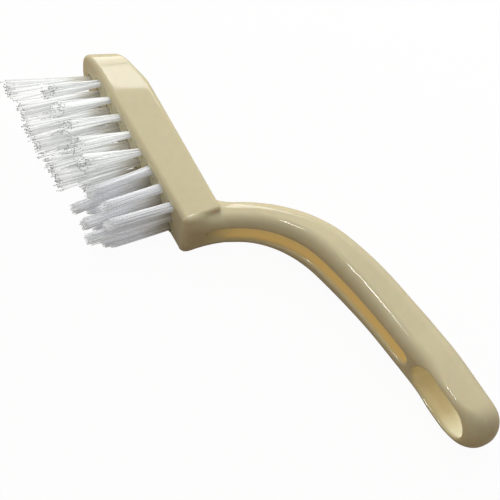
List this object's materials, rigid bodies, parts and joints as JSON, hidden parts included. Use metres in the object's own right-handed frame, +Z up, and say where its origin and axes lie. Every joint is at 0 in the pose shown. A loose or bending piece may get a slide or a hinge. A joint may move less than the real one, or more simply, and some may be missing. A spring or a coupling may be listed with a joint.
{
  "type": "fish cleaning brush",
  "caption": "Hand brush with a straight head, an arched grooved handle with a hanging slot, and roof-trimmed tufts: stiff clear filaments at the toe, fine white ones at the heel.",
  "frame": {"origin": "middle of the part's box, on the surface the brush lies on", "axes": "+X from the toe to the tail of the handle, +Y from the bristle face to the back, +Z up through the width; the brush lies on one side as in the picture"},
  "size_m": [0.1892, 0.0906, 0.0195],
  "materials": {
    "ivory_plastic": "glossy moulded ivory plastic",
    "clear_filament": "clear nylon filament",
    "white_filament": "fine white filament",
    "anchor_wire": "drawn flat wire"
  },
  "bodies": {
    "root": {"brush_body": "ivory_plastic", "coarse_bristle_field": "clear_filament", "fine_bristle_field": "white_filament", "anchor_low_1": "anchor_wire", "anchor_mid_1": "anchor_wire", "anchor_top_1": "anchor_wire", "anchor_low_2": "anchor_wire", "anchor_mid_2": "anchor_wire", "anchor_top_2": "anchor_wire", "anchor_low_3": "anchor_wire", "anchor_mid_3": "anchor_wire", "anchor_top_3": "anchor_wire", "anchor_low_4": "anchor_wire", "anchor_mid_4": "anchor_wire", "anchor_top_4": "anchor_wire", "anchor_low_5": "anchor_wire", "anchor_mid_5": "anchor_wire", "anchor_top_5": "anchor_wire", "anchor_low_6": "anchor_wire", "anchor_mid_6": "anchor_wire", "anchor_top_6": "anchor_wire", "anchor_low_7": "anchor_wire", "anchor_mid_7": "anchor_wire", "anchor_top_7": "anchor_wire", "anchor_low_8": "anchor_wire", "anchor_mid_8": "anchor_wire", "anchor_top_8": "anchor_wire", "anchor_mid_9": "anchor_wire"}
  },
  "joints": []
}
